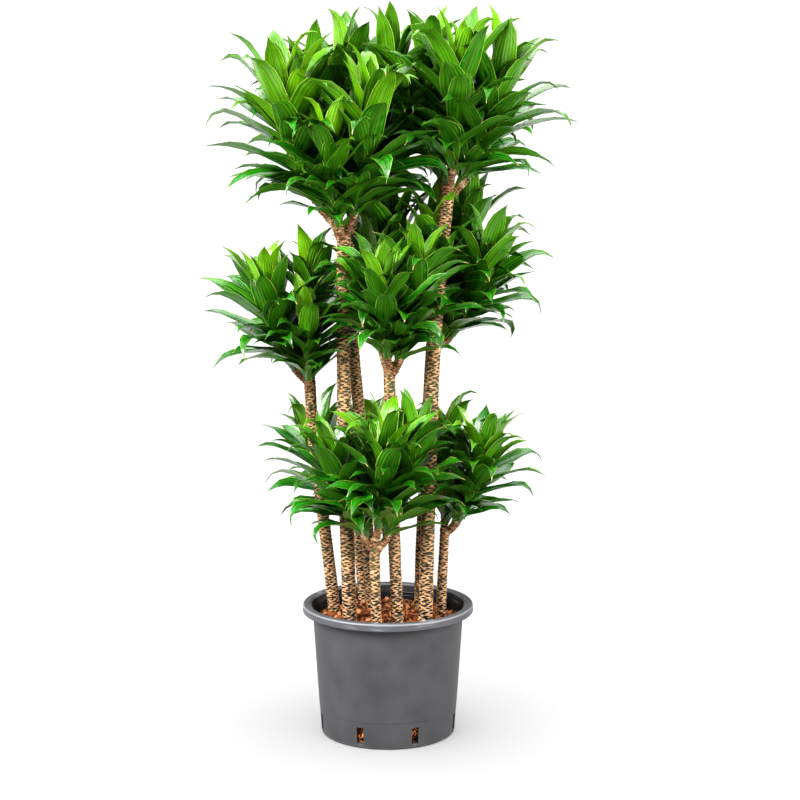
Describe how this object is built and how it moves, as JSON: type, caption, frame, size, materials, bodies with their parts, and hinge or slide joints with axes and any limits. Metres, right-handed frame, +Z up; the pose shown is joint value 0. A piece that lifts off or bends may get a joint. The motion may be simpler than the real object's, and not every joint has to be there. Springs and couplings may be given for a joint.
{
  "type": "potted corn plant",
  "caption": "Tall indoor corn plant: bare ringed canes of staggered lengths stand in a round nursery pot of soil, each branching at its cut top into dense heads of broad pointed leaves.",
  "frame": {"origin": "middle of the flat underside of the pot, on the surface that the pot stands on", "axes": "+Z is up along the pot's axis and the canes, -Y is the front that the picture shows, +X is to the right as seen from the front"},
  "size_m": [0.7281, 0.6021, 1.436],
  "materials": {
    "pot": "satin moulded polypropylene, lightly scuffed",
    "soil": "loose, lumpy bark and coir potting mix, dry on top",
    "bark": "matt corky net over dark green cane",
    "leaf": "glossy, waxy green leaf with fine lengthwise veins and a pale margin"
  },
  "bodies": {
    "root": {"pot": "pot", "soil": "soil", "cane_tall_left": "bark", "cane_tall_back": "bark", "cane_tall_right": "bark", "cane_middle_left": "bark", "cane_middle_front": "bark", "cane_middle_back": "bark", "cane_short_front": "bark", "cane_short_right": "bark", "cane_short_back": "bark", "head_tall_left_left": "leaf", "head_tall_left_right": "leaf", "head_tall_left_front": "leaf", "head_tall_left_back": "leaf", "head_tall_back_left": "leaf", "head_tall_back_right": "leaf", "head_tall_back_back": "leaf", "head_tall_back_front": "leaf", "head_tall_right_front": "leaf", "head_tall_right_right": "leaf", "head_tall_right_back": "leaf", "head_middle_left_left": "leaf", "head_middle_left_back": "leaf", "head_middle_left_front": "leaf", "head_middle_front_front": "leaf", "head_middle_front_left": "leaf", "head_middle_front_right": "leaf", "head_middle_back_left": "leaf", "head_middle_back_front": "leaf", "head_middle_back_back": "leaf", "head_middle_back_right": "leaf", "head_short_front_front": "leaf", "head_short_front_left": "leaf", "head_short_front_right": "leaf", "head_short_right_right": "leaf", "head_short_right_back": "leaf", "head_short_back_left": "leaf", "head_short_back_back": "leaf"}
  },
  "joints": []
}
